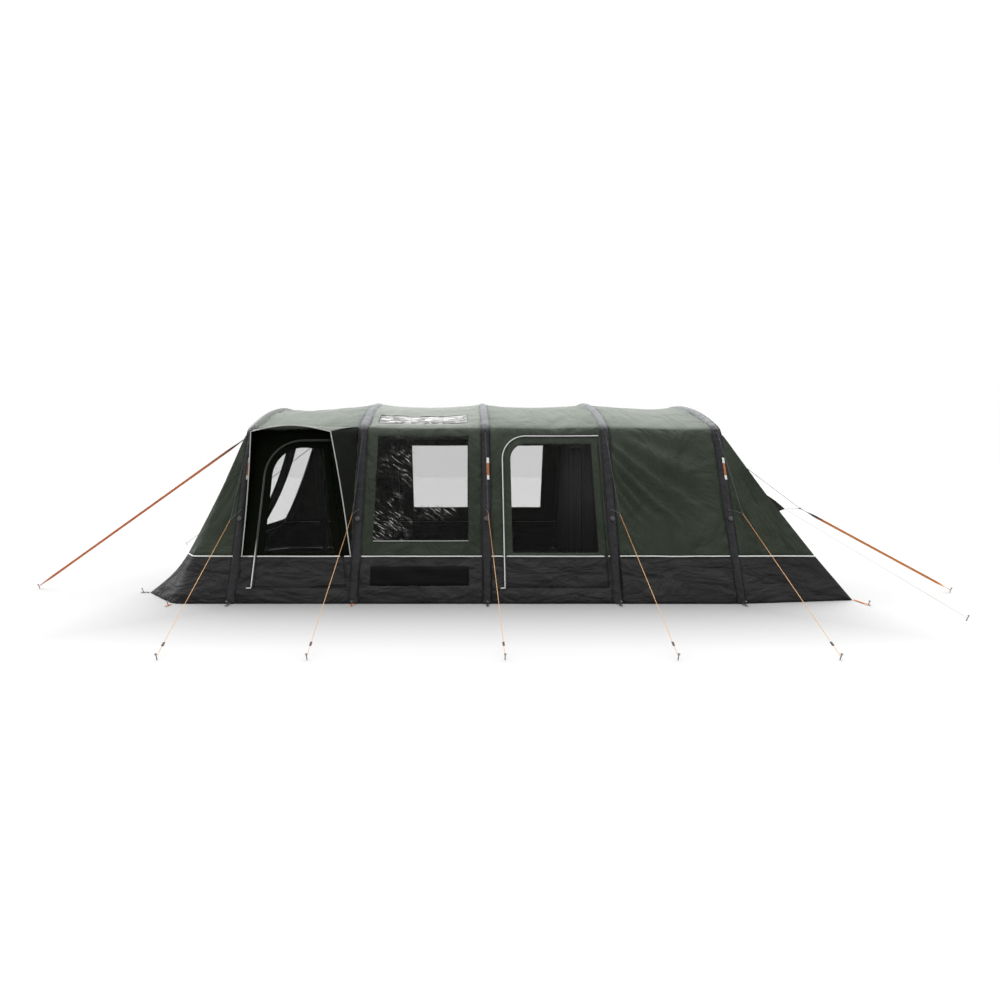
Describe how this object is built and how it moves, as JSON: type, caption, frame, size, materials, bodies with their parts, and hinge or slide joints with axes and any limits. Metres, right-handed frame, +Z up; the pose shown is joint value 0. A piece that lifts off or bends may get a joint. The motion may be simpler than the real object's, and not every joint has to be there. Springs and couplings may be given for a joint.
{
  "type": "tunnel tent",
  "caption": "Inflatable tunnel tent with sloping ends, hooded porch door, side door, clear windows, hung bedroom, and guy lines out to ground pegs.",
  "frame": {"origin": "on the ground, on the tunnel's centre line, 32 mm in front of the middle beam", "axes": "+X along the tunnel from the front to the rear, -Y the side with the doors, +Z up"},
  "size_m": [10.0362, 7.5812, 2.1697],
  "materials": {
    "fly_wall": "matte woven polyester",
    "fly_roof": "matte woven polyester",
    "mud_wall": "matte coated polyester",
    "beam_sleeve": "matte woven polyester",
    "air_beam": "smooth film",
    "groundsheet": "matte coated polyester",
    "clear_window": "clear soft film",
    "mesh": "fine net",
    "bedroom": "matte breathable polyester",
    "valve": "moulded",
    "valve_cap": "moulded",
    "zip_slider": "moulded",
    "peg": "plain",
    "webbing": "woven webbing",
    "guy_line": "braided cord",
    "guy_leg": "braided cord",
    "ring": "moulded",
    "runner": "moulded"
  },
  "bodies": {
    "tent": {"air_beams": "air_beam", "base_pegs": "peg", "beam_sleeve_1": "beam_sleeve", "beam_sleeve_2": "beam_sleeve", "beam_sleeve_3": "beam_sleeve", "beam_sleeve_4": "beam_sleeve", "beam_sleeve_5": "beam_sleeve", "bedroom_bay_wall": "fly_wall", "bedroom_floor": "groundsheet", "bedroom_front": "bedroom", "bedroom_shell": "bedroom", "end_corners": "fly_wall", "far_walls": "fly_wall", "fly_roof": "fly_roof", "front_and_far_windows": "clear_window", "front_wall": "fly_wall", "groundsheet": "groundsheet", "line_junctions": "ring", "line_pegs": "peg", "mud_wall_far": "mud_wall", "mud_wall_front": "mud_wall", "mud_wall_near": "mud_wall", "mud_wall_rear": "mud_wall", "porch_bay_wall": "fly_wall", "porch_hood": "fly_wall", "rear_vent_hood": "fly_wall", "rear_wall": "fly_wall", "roof_lights": "clear_window", "side_door_bay_wall": "fly_wall", "side_guy_legs": "guy_leg", "side_guy_lines": "guy_line", "side_window": "clear_window", "storm_lines": "webbing", "valve_bodies": "valve", "vent_meshes": "mesh", "webbing_loops": "webbing", "window_bay_wall": "fly_wall"},
    "side_door_panel": {"side_door": "fly_wall", "side_door_window": "clear_window"},
    "side_door_slider": {"side_door_zip_slider": "zip_slider"},
    "porch_door_panel": {"porch_door": "fly_wall", "porch_door_window": "clear_window"},
    "porch_door_slider": {"porch_door_zip_slider": "zip_slider"},
    "bedroom_door_panel": {"bedroom_door": "bedroom"},
    "valve_cap_1": {"valve_cap_1": "valve_cap"},
    "valve_cap_2": {"valve_cap_2": "valve_cap"},
    "valve_cap_3": {"valve_cap_3": "valve_cap"},
    "valve_cap_4": {"valve_cap_4": "valve_cap"},
    "valve_cap_5": {"valve_cap_5": "valve_cap"},
    "runner_near_1": {"line_runner_near_1": "runner"},
    "runner_near_2": {"line_runner_near_2": "runner"},
    "runner_near_3": {"line_runner_near_3": "runner"},
    "runner_near_4": {"line_runner_near_4": "runner"},
    "runner_near_5": {"line_runner_near_5": "runner"},
    "runner_far_1": {"line_runner_far_1": "runner"},
    "runner_far_2": {"line_runner_far_2": "runner"},
    "runner_far_3": {"line_runner_far_3": "runner"},
    "runner_far_4": {"line_runner_far_4": "runner"},
    "runner_far_5": {"line_runner_far_5": "runner"}
  },
  "joints": [
    {"name": "side_door_hinge", "type": "hinge", "parent": "tent", "child": "side_door_panel", "pos_m": [1.246, -1.99916, 0.146], "axis": [0, 0.3289, 0.9444], "range_deg": [0, 88]},
    {"name": "side_door_zip", "type": "slide", "parent": "side_door_panel", "child": "side_door_slider", "axis": [0, 0.3289, 0.9444], "range_m": [0, 1.2]},
    {"name": "porch_door_hinge", "type": "hinge", "parent": "tent", "child": "porch_door_panel", "pos_m": [-1.368, -1.99916, 0.146], "axis": [-0.1707, 0.324, 0.9305], "range_deg": [0, 65]},
    {"name": "porch_door_zip", "type": "slide", "parent": "porch_door_panel", "child": "porch_door_slider", "axis": [0, 0.3289, 0.9444], "range_m": [0, 1]},
    {"name": "bedroom_door_hinge", "type": "hinge", "parent": "tent", "child": "bedroom_door_panel", "pos_m": [1.3, 0.618, 0.14], "axis": [0, 0, -1], "range_deg": [0, 110]},
    {"name": "valve_cap_1_turn", "type": "hinge", "parent": "tent", "child": "valve_cap_1", "pos_m": [-2.5, -1.8022, 0.81802], "axis": [0, -0.9444, 0.3289], "continuous": true},
    {"name": "valve_cap_2_turn", "type": "hinge", "parent": "tent", "child": "valve_cap_2", "pos_m": [-1.288, -1.8022, 0.81802], "axis": [0, -0.9444, 0.3289], "continuous": true},
    {"name": "valve_cap_3_turn", "type": "hinge", "parent": "tent", "child": "valve_cap_3", "pos_m": [0.032, -1.8022, 0.81802], "axis": [0, -0.9444, 0.3289], "continuous": true},
    {"name": "valve_cap_4_turn", "type": "hinge", "parent": "tent", "child": "valve_cap_4", "pos_m": [1.326, -1.8022, 0.81802], "axis": [0, -0.9444, 0.3289], "continuous": true},
    {"name": "valve_cap_5_turn", "type": "hinge", "parent": "tent", "child": "valve_cap_5", "pos_m": [2.536, -1.8022, 0.81802], "axis": [0, -0.9444, 0.3289], "continuous": true},
    {"name": "runner_near_1_slide", "type": "slide", "parent": "tent", "child": "runner_near_1", "axis": [-0.0727, 0.8993, 0.4312], "range_m": [-0.06, 0.6]},
    {"name": "runner_near_2_slide", "type": "slide", "parent": "tent", "child": "runner_near_2", "axis": [0.0043, 0.8879, 0.46], "range_m": [-0.06, 0.6]},
    {"name": "runner_near_3_slide", "type": "slide", "parent": "tent", "child": "runner_near_3", "axis": [-0.029, 0.8875, 0.4598], "range_m": [-0.06, 0.6]},
    {"name": "runner_near_4_slide", "type": "slide", "parent": "tent", "child": "runner_near_4", "axis": [0.009, 0.8879, 0.46], "range_m": [-0.06, 0.6]},
    {"name": "runner_near_5_slide", "type": "slide", "parent": "tent", "child": "runner_near_5", "axis": [0.0437, 0.8871, 0.4596], "range_m": [-0.06, 0.6]},
    {"name": "runner_far_1_slide", "type": "slide", "parent": "tent", "child": "runner_far_1", "axis": [-0.0727, -0.8993, 0.4312], "range_m": [-0.06, 0.6]},
    {"name": "runner_far_2_slide", "type": "slide", "parent": "tent", "child": "runner_far_2", "axis": [0.0043, -0.8879, 0.46], "range_m": [-0.06, 0.6]},
    {"name": "runner_far_3_slide", "type": "slide", "parent": "tent", "child": "runner_far_3", "axis": [-0.029, -0.8875, 0.4598], "range_m": [-0.06, 0.6]},
    {"name": "runner_far_4_slide", "type": "slide", "parent": "tent", "child": "runner_far_4", "axis": [0.009, -0.8879, 0.46], "range_m": [-0.06, 0.6]},
    {"name": "runner_far_5_slide", "type": "slide", "parent": "tent", "child": "runner_far_5", "axis": [0.0437, -0.8871, 0.4596], "range_m": [-0.06, 0.6]}
  ]
}
